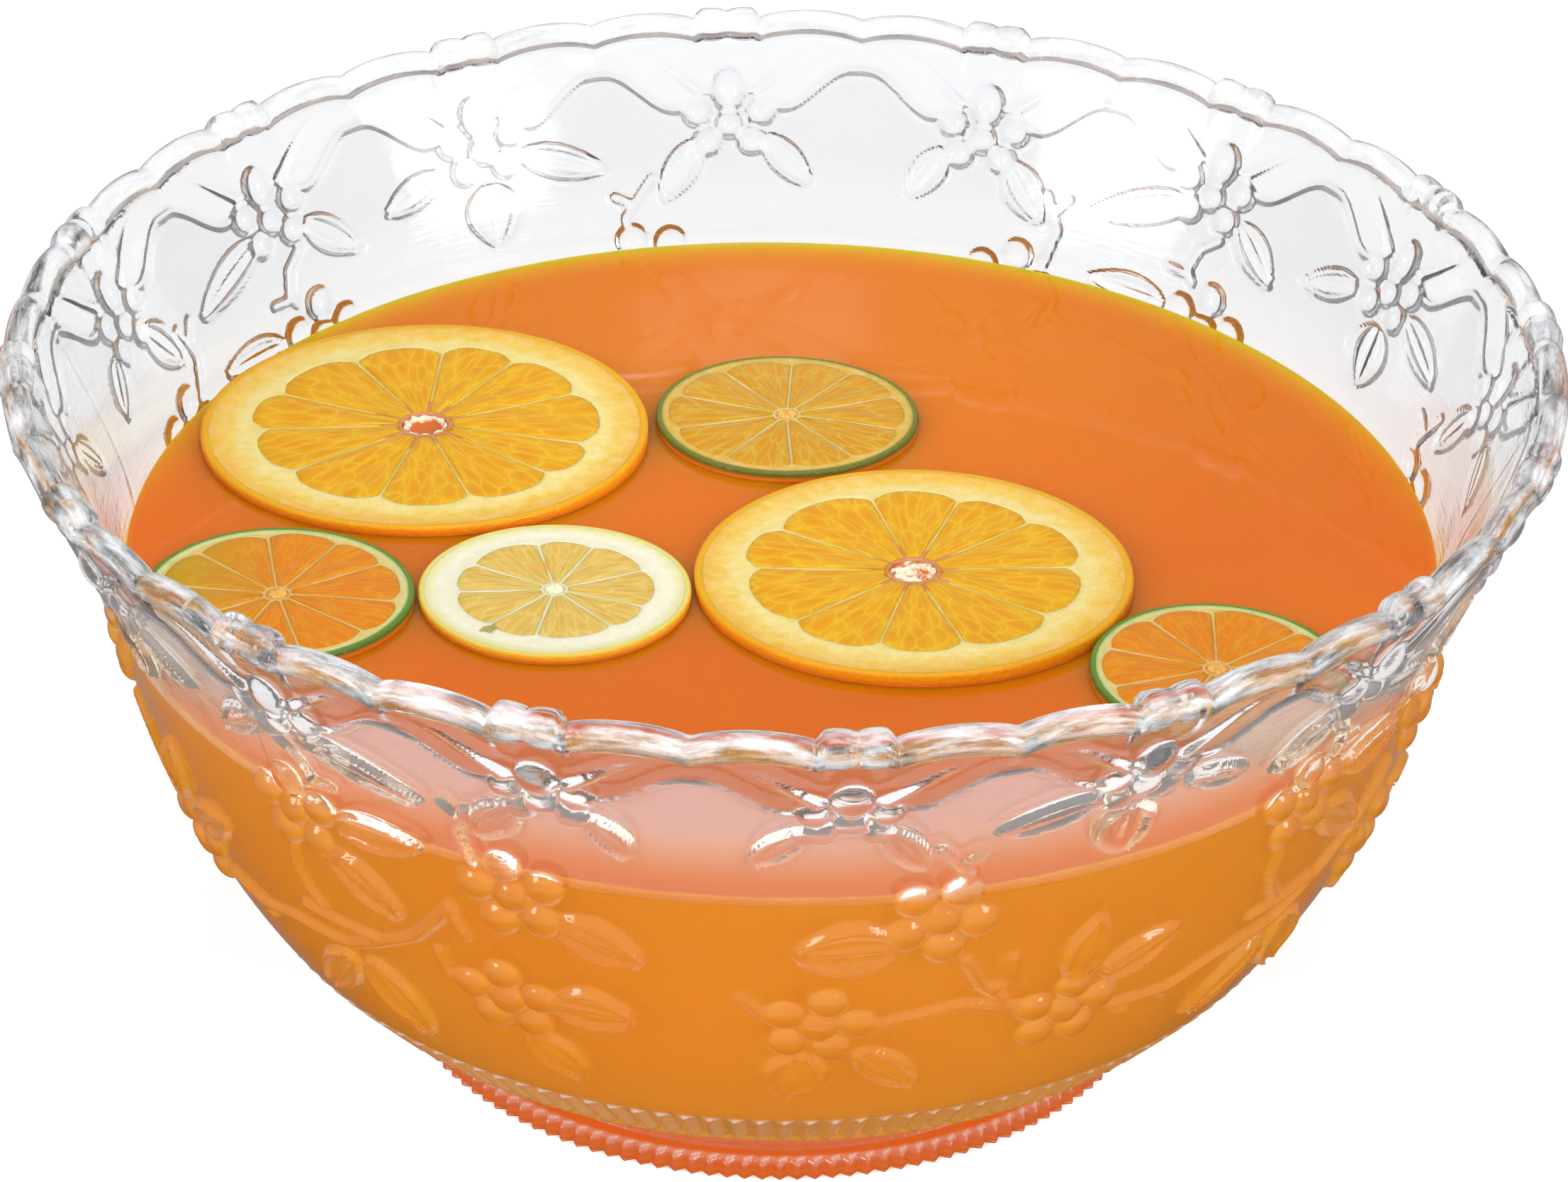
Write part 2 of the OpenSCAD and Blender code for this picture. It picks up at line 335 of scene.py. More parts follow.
# How milky the acrylic is on the bare wall just above the punch and higher up, and painted highlight laid on as
# milkiness:
# on the edges of raised shapes above and below the punch's surface, on the ribbed band, more on one facet of
# each rib, and on the bead's upper half
DRY_LOW_HAZE, DRY_HIGH_HAZE = 0.06, 0.24
DRY_EDGE_PAINTED_HIGHLIGHT, WET_EDGE_PAINTED_HIGHLIGHT = 0.80, 0.12
RIB_HAZE_AND_PAINTED_HIGHLIGHT = 0.07
BEAD_TOP_PAINTED_HIGHLIGHT = 0.40


def make_bowl():
    theta = np.arange(COLS) * 360 / COLS - 45
    angles = np.radians(theta)
    quarter = COLS // 4
    rib = np.abs((np.arange(COLS) / RIB_POINTS) % 1 - 0.5) * 2
    rows_r, rows_z, v = [], [], []
    shade, haze_and_painted_highlight, wet, painted_highlight_streaks = [], [], [], []

    def ring(r, z, dark=0.0, milky_and_painted_highlight=0.0, streaky=0.0):
        """One more ring of points, with the painted shade, the milkiness with painted highlight, and the
        streakiness of that highlight for the acrylic there.
        """
        # 1 below the punch's surface, a half on the band just above it that takes a painted orange glow in
        # front, and 0 on the bare wall
        over_punch = 1 - 0.5 * smooth(PUNCH_LEVEL - 1, PUNCH_LEVEL + 1, z)
        over_punch = over_punch - 0.5 * smooth(PUNCH_LEVEL + 4, PUNCH_LEVEL + 24, z)
        rows = (rows_r, r), (rows_z, z), (shade, dark), (haze_and_painted_highlight, milky_and_painted_highlight), (wet, over_punch), (painted_highlight_streaks, streaky)
        for row, value in rows:
            row.append(value + 0 * angles)
        v.append(len(v))

    facet = (np.arange(COLS) / RIB_POINTS) % 1 < 0.5

    def add(r, z, rib_weight=0.0, milky_and_painted_highlight=0.0):
        """A ring with ribs: one facet of each is milkier than the other, a painted highlight on that facet."""
        ring(r - rib_weight * RIB_DEPTH * (1 - rib), z, 0.0, milky_and_painted_highlight * (0.35 + 0.65 * facet))

    # underside: recess, flat ring, ribbed foot, ledge and waist
    recess_r = FOOT_R - 9
    for r in (20, 45, 62, recess_r - 0.6):
        add(r, RECESS_H)
    add(recess_r, RECESS_H - 0.3)
    add(recess_r + 0.7, 0.25)
    add(recess_r + 1.1, 0)
    add(FOOT_R - 3.2, 0)
    add(FOOT_R - 0.5, 0, 1)
    add(FOOT_R, 0.5, 1)
    for z in np.linspace(1.4, FOOT_H - 1.2, 4):
        add(FOOT_R, z, 1)
    # painted highlights: milkier tops of the foot ring's ribs
    add(FOOT_R - 0.3, FOOT_H - 0.3, 0.95, 0.15)
    add(FOOT_R - 1.3, FOOT_H, 0.5, 0.6)
    add(FOOT_R - 2.6, FOOT_H + 0.2)
    add(FOOT_R - 5.0, FOOT_H + 0.9)
    add(FOOT_R - 7.0, FOOT_H + 1.9)
    waist = (FOOT_R - 8.0, FOOT_H + 3.2)
    add(*waist)
    rise = (BAND_LOW[0] - RIB_DEPTH - waist[0], BAND_LOW[1] - waist[1])
    for t in (0.12, 0.3, 0.5, 0.7, 0.86):
        add(waist[0] + t * rise[0], waist[1] + t * rise[1] - 1.2 * math.sin(math.pi * t))
    # the ribbed band: pointed lower ends, straight ribs, triangular grooves' ends on top
    add(BAND_LOW[0] - RIB_DEPTH - 0.6, BAND_LOW[1] - 0.8)
    add(BAND_LOW[0] - RIB_DEPTH + 0.7, BAND_LOW[1] - 0.3, 0.25)
    add(BAND_LOW[0] - 0.3, BAND_LOW[1] + 0.5, 0.9)
    band = (BAND_TOP[0] - BAND_LOW[0], BAND_TOP[1] - BAND_LOW[1])
    for t in np.linspace(0.1, 0.86, 10):
        add(BAND_LOW[0] + t * band[0], BAND_LOW[1] + t * band[1], 1, RIB_HAZE_AND_PAINTED_HIGHLIGHT)
    # painted highlights: milky triangles where the band's grooves end on top
    add(BAND_TOP[0] - 0.9, BAND_TOP[1] - 1.0, 0.85, 0.45)
    add(BAND_TOP[0] - 0.6, BAND_TOP[1] - 0.3, 0.4, 0.25)
    # the wall with its relief
    wall, s = by_length(outer, 0.55)
    n = outward(wall)
    keep = s > 0.9
    keep &= s < s[-1] - 2.2
    wall, n, s = wall[keep], n[keep], s[keep] + PATTERN_START
    h = np.tile(wall_relief(theta[:quarter], s, wall[:, 0]), (1, 4))
    h *= smooth(s[0], s[0] + 2, s)[:, None]
    lift = scallop(theta)[None, :] * smooth(146, 156, s)[:, None]
    up = np.gradient(h, axis=0) / (s[1] - s[0])
    around = np.gradient(h, axis=1) / (np.radians(360 / COLS) * wall[:, :1])
    # painted highlight mask: the relief's steep slopes, strongest where they face down
    edge = soften(smooth(0.35, 1.1, np.hypot(up, around)) * (0.5 + 0.5 * up / (np.hypot(up, around) + 1e-6)))
    above = s[:, None] - border_edge(theta)[None, :]
    flat = soften((1 - 0.45 * smooth(0.1, 0.7, h)) * (1 - 0.75 * smooth(-0.8, 1.0, above)))
    for i in range(len(s)):
        z = wall[i, 1]
        dry = float(smooth(PUNCH_LEVEL, PUNCH_LEVEL + 1.5, z))
        film = (DRY_LOW_HAZE + (DRY_HIGH_HAZE - DRY_LOW_HAZE) * smooth(100, 117, z)) * flat[i]
        # painted highlight: on the dry wall along the relief's edges, under the punch on its downward-facing
        # slopes
        milky_and_painted_highlight = dry * np.maximum(film, DRY_EDGE_PAINTED_HIGHLIGHT * edge[i])
        milky_and_painted_highlight += (1 - dry) * WET_EDGE_PAINTED_HIGHLIGHT * smooth(0.1, 0.9, up[i])
        # painted shade: darker on the relief's upward-facing slopes
        ring(wall[i, 0] + n[i, 0] * h[i], z + n[i, 1] * h[i] + lift[i], smooth(0.08, 0.9, -up[i]), milky_and_painted_highlight)
    # the bead, with a streaky painted highlight laid on its upper half as milkiness
    radius = BEAD_R + knob(theta)
    centre = RIM_H + scallop(theta)
    for a in np.radians(np.linspace(-62, 236, 26)):
        upper = float(smooth(-0.95, 0.4, math.sin(a)))
        ring(RIM_R + radius * math.cos(a), centre + radius * math.sin(a), 0.0, BEAD_TOP_PAINTED_HIGHLIGHT * upper, 1.0)
    # the inside, from the rim down to the floor
    inside, s_in = by_length(inner, 2.0)
    inside, s_in = inside[::-1], s_in[::-1]
    for i in range(len(s_in)):
        if s_in[0] - s_in[i] < 2.0:
            continue
        dip = scallop(theta) * smooth(s_in[0] - 12, s_in[0] - 2, s_in[i])
        ring(inside[i, 0], inside[i, 1] + dip)
    for r in (40, 20):
        add(r, INSIDE_FLOOR)
    finish_and_painted_light = np.stack([shade, haze_and_painted_highlight, wet, painted_highlight_streaks], -1)
    v = np.array(v) / len(v)
    bowl = lathe("clear_bowl", np.array(rows_r), np.array(rows_z), angles, v, RECESS_H, INSIDE_FLOOR, finish_and_painted_light)
    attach(bowl, "bowl_with_punch")
    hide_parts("bowl")
    return bowl


# ---------------------------------------------------------------- the punch
MENISCUS = 0.35


def make_punch():
    cols = 360
    angles = np.radians(np.arange(cols) * 360 / cols)
    side, _ = by_length(inner + SKIN * outward(inner), 3.0)
    side = side[side[:, 1] < PUNCH_LEVEL + MENISCUS]
    top = side[-1]
    rows = [(r, INSIDE_FLOOR - SKIN) for r in (20, 40)] + [tuple(p) for p in side]
    # the meniscus climbs the wall a little, then the level surface
    for d in (0.4, 0.9, 1.5, 2.3, 3.4, 5.0):
        rows.append((top[0] - SKIN - d, PUNCH_LEVEL + MENISCUS * math.exp(-(d / 0.8))))
    rows += [(r, PUNCH_LEVEL) for r in np.linspace(top[0] - 8, 10, 24)]
    rows = np.array(rows)
    r = np.repeat(rows[:, :1], cols, 1)
    z = np.repeat(rows[:, 1:], cols, 1)
    v = np.arange(len(rows)) / len(rows)
    punch = lathe("orange_punch", r, z, angles, v, INSIDE_FLOOR - SKIN, PUNCH_LEVEL)
    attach(punch, "bowl_with_punch")
    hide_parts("punch")
    up = np.zeros(len(punch.data.polygons) * 3)
    punch.data.polygons.foreach_get("normal", up)
    middle = np.zeros(len(punch.data.polygons) * 3)
    punch.data.polygons.foreach_get("center", middle)
    on_top = (up[2::3] > 0.5) & (middle[2::3] > (PUNCH_LEVEL - 1) * MM)
    punch.data.polygons.foreach_set("material_index", on_top.astype(np.int32))
    return punch


bowl = make_bowl()
punch = make_punch()


# ---------------------------------------------------------------- the fruit
# Each kind: peel thickness, pulp radius as a share of the slice's, core radius, rise above the liquid
KINDS = {
    "orange": dict(peel=1.6, pulp=0.775, core=4.6, up=2.4),
    "lime": dict(peel=1.2, pulp=0.90, core=2.2, up=1.8),
    "lemon": dict(peel=1.2, pulp=0.73, core=2.0, up=1.8),
}
MEMBRANE = 0.6


def cad_circle(node):
    """Centre and radius of a slice in millimetres, from its peel in the frame."""
    low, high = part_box(node)
    return (low.x + high.x) / 2 / MM, (low.y + high.y) / 2 / MM, (high.x - low.x) / 2 / MM


class Slice:
    """One slice's pieces, made flat round the origin and then bent, tipped and moved into place."""

    def __init__(self, name, kind, segments, turn, squeeze, tip):
        self.name, self.kind, self.n, self.turn = name, kind, segments, turn
        self.k = KINDS[kind]
        self.x, self.y, self.radius = cad_circle(name + "_peel")
        self.squeeze, self.tip = squeeze, tip
        self.top = PUNCH_LEVEL + self.k["up"]
        rng = np.random.default_rng(sum(ord(c) for c in name))
        step = 360 / segments
        self.walls = turn + step * (np.arange(segments) - 0.5) + rng.uniform(-0.13, 0.13, segments) * step
        self.bulge = rng.uniform(0, 1, segments)

    def put(self, piece, verts):
        """Bends flat points (mm, z down from the top face) to the slice's own outline and tilt."""
        v = np.array(verts, float)
        a = np.arctan2(v[:, 1], v[:, 0])
        grow = 1 + self.squeeze[0] * np.cos(2 * (a - math.radians(self.squeeze[1])))
        grow += 0.006 * np.cos(3 * a + self.turn)
        v[:, 0] *= grow
        v[:, 1] *= grow
        v[:, 2] += self.top + self.tip[0] * v[:, 0] + self.tip[1] * v[:, 1]
        v[:, 0] += self.x
        v[:, 1] += self.y
        mesh = piece.data
        mesh.vertices.foreach_set("co", (v * MM).astype(np.float32).ravel())
        mesh.update()
        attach(piece, self.name + "_slice")

    def ring(self, name, profile, cols=180):
        """A closed ring from a closed profile of (r, z) points."""
        p = np.array(profile, float)
        a = np.radians(np.arange(cols) * 360 / cols)
        verts = np.stack([p[:, :1] * np.cos(a), p[:, :1] * np.sin(a), p[:, 1:] + 0 * a], -1).reshape(-1, 3)
        faces = ring_faces(len(p), cols).tolist()
        i, j = (len(p) - 1) * cols, np.arange(cols)
        k = (j + 1) % cols
        faces += np.stack([i + j, i + k, k, j], -1).tolist()
        u = np.broadcast_to(a / (2 * math.pi), (len(p), cols))
        uv = np.stack([u, p[:, :1] / 10 + 0 * a], -1).reshape(-1, 2)
        obj = new_mesh(name, verts, faces, uv)
        self.put(obj, verts)
        return obj

    def make_peel(self):
        r, t = self.radius, self.k["peel"]
        profile = [(r - t, -0.08), (r - t + 0.04, -0.06), (r - t * 0.6, 0.0)]
        profile += [(r - 0.45, -0.05), (r - 0.16, -0.2), (r, -0.6)]
        profile += [(r, z) for z in (-1.6, -3.2, -4.8, -5.9)]
        profile += [(r - 0.4, -SLICE_T + 0.1), (r - t, -SLICE_T)]
        obj = self.ring(self.name + "_zest", profile)
        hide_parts(self.name + "_peel")
        return obj

    def sector(self, i):
        """The walls before and after segment i, in degrees."""
        a = self.walls[i]
        b = self.walls[(i + 1) % self.n]
        return a, b if b > a else b + 360

    def cell(self, i, u, rho, inset=0.0):
        """A point of segment i: u from -1 to 1 across, rho from 0 at the core to 1 at its rounded end."""
        a, b = self.sector(i)
        r_in = self.k["core"] + MEMBRANE
        r_out = self.radius * self.k["pulp"] * (0.985 + 0.03 * self.bulge[i])
        dip = 0.09 if self.kind == "orange" else 0.06
        reach = r_out * (1 - dip * np.abs(u) ** 3.5) - inset
        r = r_in + inset + rho * (reach - r_in - inset)
        half = (b - a) / 2 - np.degrees(np.arcsin(np.clip((MEMBRANE / 2 + inset) / r, 0, 1)))
        angle = np.radians((a + b) / 2 + u * half)
        return r, angle

    def make_segments(self):
        verts, faces, uv = [], [], []
        us = np.array([-1, -0.97, -0.9, -0.78, -0.6, -0.4, -0.2, 0, 0.2, 0.4, 0.6, 0.78, 0.9, 0.97, 1.0])
        rhos = np.array([0, 0.03, 0.08, 0.16, 0.26, 0.38, 0.5, 0.62, 0.74, 0.84, 0.91, 0.96, 0.99, 1.0])
        for i in range(self.n):
            u, rho = np.meshgrid(us, rhos)
            r, a = self.cell(i, u, rho, 0.03)
            edge = np.minimum(1 - np.abs(u), np.minimum(rho, 1 - rho) * 2)
            pillow = np.clip(edge / 0.22, 0, 1)
            z = -0.26 + 0.32 * np.sqrt(1 - (1 - pillow) ** 2) + 0.12 * np.sin(3 * u + 5 * rho + i)
            start = len(verts)
            rows, cols = u.shape
            for side in (0, 1):
                zz = z if side == 0 else -SLICE_T - z
                for q in range(rows * cols):
                    rr, aa = r.flat[q], a.flat[q]
                    verts.append((rr * math.cos(aa), rr * math.sin(aa), zz.flat[q]))
                    uv.append((aa / (2 * math.pi), rr / 10))
            for p in range(rows - 1):
                for q in range(cols - 1):
                    a0, b0 = start + p * cols + q, start + p * cols + q + 1
                    a1, b1 = a0 + cols, b0 + cols
                    faces.append((a0, a1, b1, b0))
                    k = rows * cols
                    faces.append((a0 + k, b0 + k, b1 + k, a1 + k))
            rim = [start + q for q in range(cols)]
            rim += [start + p * cols + cols - 1 for p in range(1, rows)]
            rim += [start + (rows - 1) * cols + q for q in range(cols - 2, -1, -1)]
            rim += [start + p * cols for p in range(rows - 2, 0, -1)]
            k = rows * cols
            for p, q in zip(rim, rim[1:] + rim[:1]):
                faces.append((p, q, q + k, p + k))
        obj = new_mesh(self.name + "_pulp", verts, faces, uv)
        self.put(obj, verts)
        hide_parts(self.name + "_segments")
        return obj

    def make_pith(self):
        """A disc with a pocket for each segment on both faces. What stands between pockets is membrane."""
        us = np.array([-1.0, -0.985, -0.9, -0.6, -0.3, 0, 0.3, 0.6, 0.9, 0.985, 1.0])
        rhos = np.array([0, 0.02, 0.3, 0.6, 0.85, 0.98, 1.0])
        r_edge = self.radius - self.k["peel"]
        r_core = self.k["core"]
        columns = []
        for i in range(self.n):
            a, b = self.sector(i)
            columns.append((i, None, a))
            for u in us:
                columns.append((i, u, None))
        rows_r, rows_a, rows_z = [], [], []

        def row(kind, t):
            rr, aa, zz = [], [], []
            for i, u, wall in columns:
                if u is None:
                    r0, _ = self.cell(i, -1.0, 0.0)
                    r1, _ = self.cell(i, -1.0, 1.0)
                    angle = math.radians(wall)
                    inside = False
                else:
                    r0, _ = self.cell(i, u, 0.0)
                    r1, angle = self.cell(i, u, 1.0 if kind != "in" else t)
                    r1, _ = self.cell(i, u, 1.0)
                    inside = abs(u) < 0.99
                if kind == "core":
                    r, z = r_core + t * (r0 - r_core), -0.15
                    angle = angle if u is None else float(self.cell(i, u, 0.0)[1])
                elif kind == "in":
                    r = r0 + t * (r1 - r0)
                    z = -2.6 if inside and 0.01 < t < 0.99 else -0.12
                    if u is None:
                        z = -0.1
                else:
                    r = r1 + t * (r_edge - r1)
                    z = -0.06 - 0.25 * math.sin(math.pi * t)
                rr.append(float(r))
                aa.append(float(angle))
                zz.append(z)
            rows_r.append(rr)
            rows_a.append(aa)
            rows_z.append(zz)

        row("core", 0.0)
        row("core", 0.6)
        for t in rhos:
            row("in", float(t))
        for t in (0.06, 0.2, 0.45, 0.7, 0.9, 0.985, 1.0):
            row("out", t)
        r, a, z = np.array(rows_r), np.array(rows_a), np.array(rows_z)
        rows, cols = r.shape
        r2, a2, z2 = r[::-1], a[::-1], (-SLICE_T - z)[::-1]
        r, a, z = np.concatenate([r, r2]), np.concatenate([a, a2]), np.concatenate([z, z2])
        verts = np.stack([r * np.cos(a), r * np.sin(a), z], -1).reshape(-1, 3)
        faces = ring_faces(2 * rows, cols).tolist()
        i, j = (2 * rows - 1) * cols, np.arange(cols)
        k = (j + 1) % cols
        faces += np.stack([i + j, i + k, k, j], -1).tolist()
        uv = np.stack([a / (2 * math.pi), r / 10], -1).reshape(-1, 2)
        obj = new_mesh(self.name + "_white", verts, faces, uv)
        self.put(obj, verts)
        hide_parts(self.name + "_pith")
        return obj

    def make_core(self):
        """The fibrous middle: a lumpy star-shaped plug."""
        cols = self.n * 6
        r0 = self.k["core"]
        a = np.radians(self.turn) + np.arange(cols) * 2 * math.pi / cols
        star = 1 - 0.16 * np.abs(np.sin(a * self.n / 2))
        rings = [(0.35, 0.15), (0.7, 0.05), (0.92, -0.1), (0.98, -0.5)]
        rings += [(0.98, -SLICE_T + 0.5), (0.9, -SLICE_T + 0.1), (0.5, -SLICE_T)]
        lump = 0.35 * np.sin(5 * a + self.turn) * np.cos(3 * a)
        if self.name == OPEN_CORE:
            rings = [(0.3, -1.7), (0.6, -1.6), (0.8, -1.0), (0.95, -0.2)] + rings[3:]
        r = np.array([r0 * k * (star if k > 0.8 else 1) + 0 * a for k, _ in rings])
        z = np.array([z0 + (lump if z0 > -0.4 else 0 * a) for _, z0 in rings])
        verts = np.stack([r * np.cos(a), r * np.sin(a), z], -1).reshape(-1, 3)
        verts = np.concatenate([verts, [[0, 0, rings[0][1]], [0, 0, -SLICE_T]]])
        faces = ring_faces(len(rings), cols).tolist()
        n = len(rings) * cols
        for j in range(cols):
            k = (j + 1) % cols
            faces.append((n, k, j))
            faces.append((n + 1, (len(rings) - 1) * cols + j, (len(rings) - 1) * cols + k))
        x, y = verts[:, 0], verts[:, 1]
        uv = np.stack([np.arctan2(y, x) / (2 * math.pi), np.hypot(x, y) / 10], -1)
        obj = new_mesh(self.name + "_middle", verts, faces, uv)
        self.put(obj, verts)
        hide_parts(self.name + "_core")
        return obj


# name, kind, segments, turn, (stretch, its direction in degrees), (tilt along x, along y)
SLICES = (
    ("orange_left", "orange", 11, 8, (0.032, 5), (0.006, 0.010)),
    ("orange_right", "orange", 10, 20, (0.024, 0), (0.010, -0.004)),
    ("lime_back", "lime", 10, 0, (0.022, 0), (0.0, -0.010)),
    ("lime_left", "lime", 10, 12, (0.010, 0), (0.008, 0.0)),
    ("lime_right", "lime", 9, 25, (0.0, 0), (-0.008, 0.006)),
    ("lemon", "lemon", 9, 5, (0.012, 0), (0.004, -0.006)),
)


# ---------------------------------------------------------------- materials
class Nodes:
    """Short ways to build a node tree."""

    def __init__(self, name):
        self.material = bpy.data.materials.new(name)
        self.material.use_nodes = True
        self.tree = self.material.node_tree
        self.bsdf = self.tree.nodes["Principled BSDF"]

    def node(self, kind, inputs=None, **props):
        n = self.tree.nodes.new(kind)
        for key, value in props.items():
            setattr(n, key, value)
        for key, value in (inputs or {}).items():
            self.put(n.inputs[key], value)
        return n

    def put(self, socket, value):
        if isinstance(value, bpy.types.NodeSocket):
            self.tree.links.new(value, socket)
        else:
            socket.default_value = value

    def set(self, **values):
        for key, value in values.items():
            self.put(self.bsdf.inputs[key.replace("_", " ")], value)

    def coords(self, kind="Object"):
        return self.node("ShaderNodeTexCoord").outputs[kind]

    def scaled(self, vector, scale):
        return self.node("ShaderNodeMapping", {"Vector": vector, "Scale": scale}).outputs[0]

    def noise(self, vector, scale, detail=4.0, rough=0.55, distortion=0.0):
        inputs = {"Vector": vector, "Scale": scale, "Detail": detail, "Roughness": rough}
        inputs["Distortion"] = distortion
        return self.node("ShaderNodeTexNoise", inputs).outputs["Fac"]

    def voronoi(self, vector, scale, feature="F1"):
        inputs = {"Vector": vector, "Scale": scale}
        return self.node("ShaderNodeTexVoronoi", inputs, feature=feature).outputs["Distance"]

    def math(self, op, a, b=0.0, clamp=False):
        return self.node("ShaderNodeMath", {0: a, 1: b}, operation=op, use_clamp=clamp).outputs[0]

    def ramp(self, fac, stops):
        n = self.node("ShaderNodeValToRGB", {"Fac": fac})
        band = n.color_ramp
        while len(band.elements) < len(stops):
            band.elements.new(0.5)
        for e, (pos, colour) in zip(band.elements, stops):
            e.position = pos
            e.color = (*colour, 1)
        return n.outputs["Color"]

    def mix(self, fac, a, b, blend="MIX"):
        n = self.node("ShaderNodeMix", data_type="RGBA", blend_type=blend)
        for key, value in ((0, fac), (6, a), (7, b)):
            if isinstance(value, tuple):
                value = (*value, 1)
            self.put(n.inputs[key], value)
        return n.outputs[2]

    def bump(self, height, strength, distance, normal=None):
        inputs = {"Height": height, "Strength": strength, "Distance": distance}
        if normal is not None:
            inputs["Normal"] = normal
        return self.node("ShaderNodeBump", inputs).outputs[0]


def srgb(r, g, b):
    """A display colour, 0 to 255, as linear light."""
    out = []
    for c in (r, g, b):
        c = c / 255
        out.append(c / 12.92 if c <= 0.04045 else ((c + 0.055) / 1.055) ** 2.4)
    return tuple(out)


def clear_acrylic():
    """Clear acrylic, milky where dry, with painted shade and painted highlights on the raised pattern from the
    mesh's finish layer, and a painted orange glow above the punch in front.
    """
    m = Nodes("clear_acrylic")
    finish_and_painted_light = m.node("ShaderNodeAttribute", attribute_name="finish_and_painted_light").outputs
    masks = m.node("ShaderNodeSeparateColor", {0: finish_and_painted_light["Color"]}).outputs
    uv = m.coords("UV")
    streaks = m.noise(m.scaled(uv, (60, 260, 1)), 1.0, 3, 0.6)
    painted_highlight_streaks = m.ramp(m.noise(m.scaled(uv, (70, 70, 1)), 1.0, 4, 0.65), [(0.40, (0, 0, 0)), (0.66, (1, 1, 1))])
    # streaks in the bead's painted highlight
    milky_and_painted_highlight = m.mix(finish_and_painted_light["Alpha"], masks[1], m.math("MULTIPLY", masks[1], m.math("MULTIPLY", painted_highlight_streaks, 2.0)))
    ripple = m.noise(m.coords(), 55, 2, 0.5)
    normal = m.bump(ripple, 0.25, 0.0012)
    normal = m.bump(streaks, 0.10, 0.0006, normal)
    # painted orange glow of the punch's light on the bare wall in front, just above the punch
    front = m.math("DIVIDE", m.node("ShaderNodeSeparateXYZ", {0: m.coords()}).outputs[1], -0.10, clamp=True)
    film = m.ramp(masks[2], [(0.0, (0, 0, 0)), (0.5, (1, 1, 1)), (1.0, (0, 0, 0))])
    level = m.mix(m.math("MULTIPLY", film, front), (0.865, 0.87, 0.88), (0.98, 0.82, 0.56))
    # base colour: painted shade on the relief's upward-facing slopes, bluish grey on the dry wall and orange
    # under the punch
    m.set(
        Base_Color=m.mix(masks[0], level, m.mix(masks[2], (0.84, 0.87, 0.92), (0.95, 0.78, 0.58))),
        Roughness=0.015, IOR=1.49,
        Transmission_Weight=m.math("SUBTRACT", 1.0, milky_and_painted_highlight, clamp=True), Normal=normal,
    )
    return m.material


def punch_side():
    """The punch where it lies against the acrylic: no gloss of its own."""
    m = Nodes("punch_in_bowl")
    z = m.node("ShaderNodeSeparateXYZ", {0: m.coords()}).outputs[2]
    cloud = m.noise(m.coords(), 9, 3, 0.6)
    tint = m.ramp(cloud, [(0.3, (0.96, 0.35, 0.03)), (0.7, (0.97, 0.39, 0.04))])
    # painted light: the punch's colour is lighter and yellower towards the bottom of the bowl
    low = m.ramp(m.math("MULTIPLY", z, 12.0), [(0.0, (1, 1, 1)), (0.55, (0, 0, 0))])
    m.set(
        Base_Color=m.mix(m.math("MULTIPLY", low, 0.6), tint, (0.99, 0.50, 0.10)), Roughness=0.5, IOR=1.34,
        Specular_IOR_Level=0.0,
        Subsurface_Weight=1.0, Subsurface_Radius=(1.0, 0.5, 0.1), Subsurface_Scale=0.005,
    )
    return m.material


def punch_top():
    m = Nodes("punch_surface")
    cloud = m.noise(m.coords(), 9, 3, 0.6)
    tint = m.ramp(cloud, [(0.3, (0.735, 0.145, 0.001)), (0.7, (0.77, 0.172, 0.002))])
    place = m.coords()
    flat = m.node("ShaderNodeVectorMath", {0: place, 1: (1.0, 1.0, 0.0)}, operation="MULTIPLY").outputs[0]
    r = m.node("ShaderNodeVectorMath", {0: flat}, operation="LENGTH").outputs["Value"]
    # painted light: the surface is lighter towards the back, and lighter and yellower along the back shore
    shore = m.math("DIVIDE", m.math("SUBTRACT", r, 0.117), 0.0115, clamp=True)
    behind = m.math("DIVIDE", m.node("ShaderNodeSeparateXYZ", {0: place}).outputs[1], 0.08, clamp=True)
    tint = m.mix(m.math("MULTIPLY", behind, 0.6), tint, (0.74, 0.22, 0.001))
    tint = m.mix(m.math("MULTIPLY", m.math("POWER", shore, 2.0), behind), tint, (0.86, 0.48, 0.006))
    waves = m.noise(place, 26, 1, 0.4, 0.6)
    m.set(
        Base_Color=tint, Roughness=0.04, IOR=1.34, Subsurface_Weight=1.0,
        Subsurface_Radius=(1.0, 0.4, 0.06), Subsurface_Scale=0.02,
        Normal=m.bump(waves, 0.10, 0.0015),
    )
    return m.material


# Colours by slice: peel on top and on its side; pith near the pulp, in its middle, near the peel; the membranes
# between segments; pulp deep, pulp mid, its veins
ORANGE = dict(
    peel=(srgb(240, 174, 4), srgb(234, 154, 10)),
    pith=(srgb(240, 214, 122), srgb(238, 196, 60), srgb(240, 176, 2)), membrane=srgb(238, 182, 44),
    pulp=((0.76, 0.30, 0.001), (0.79, 0.38, 0.003), (0.86, 0.55, 0.03)),
)
LIME_DARK = dict(
    peel=(srgb(128, 128, 30), srgb(96, 104, 30)),
    pith=(srgb(222, 170, 30), srgb(222, 174, 24), srgb(190, 156, 26)), membrane=srgb(226, 184, 96),
    pulp=(srgb(214, 140, 8), srgb(208, 152, 20), srgb(222, 184, 84)),
)
LIME_GREEN = dict(
    peel=(srgb(110, 146, 44), srgb(86, 112, 34)),
    pith=(srgb(226, 190, 90), srgb(220, 212, 130), srgb(186, 198, 104)), membrane=srgb(234, 164, 50),
    pulp=(srgb(230, 124, 2), srgb(224, 134, 4), srgb(236, 160, 36)),
)
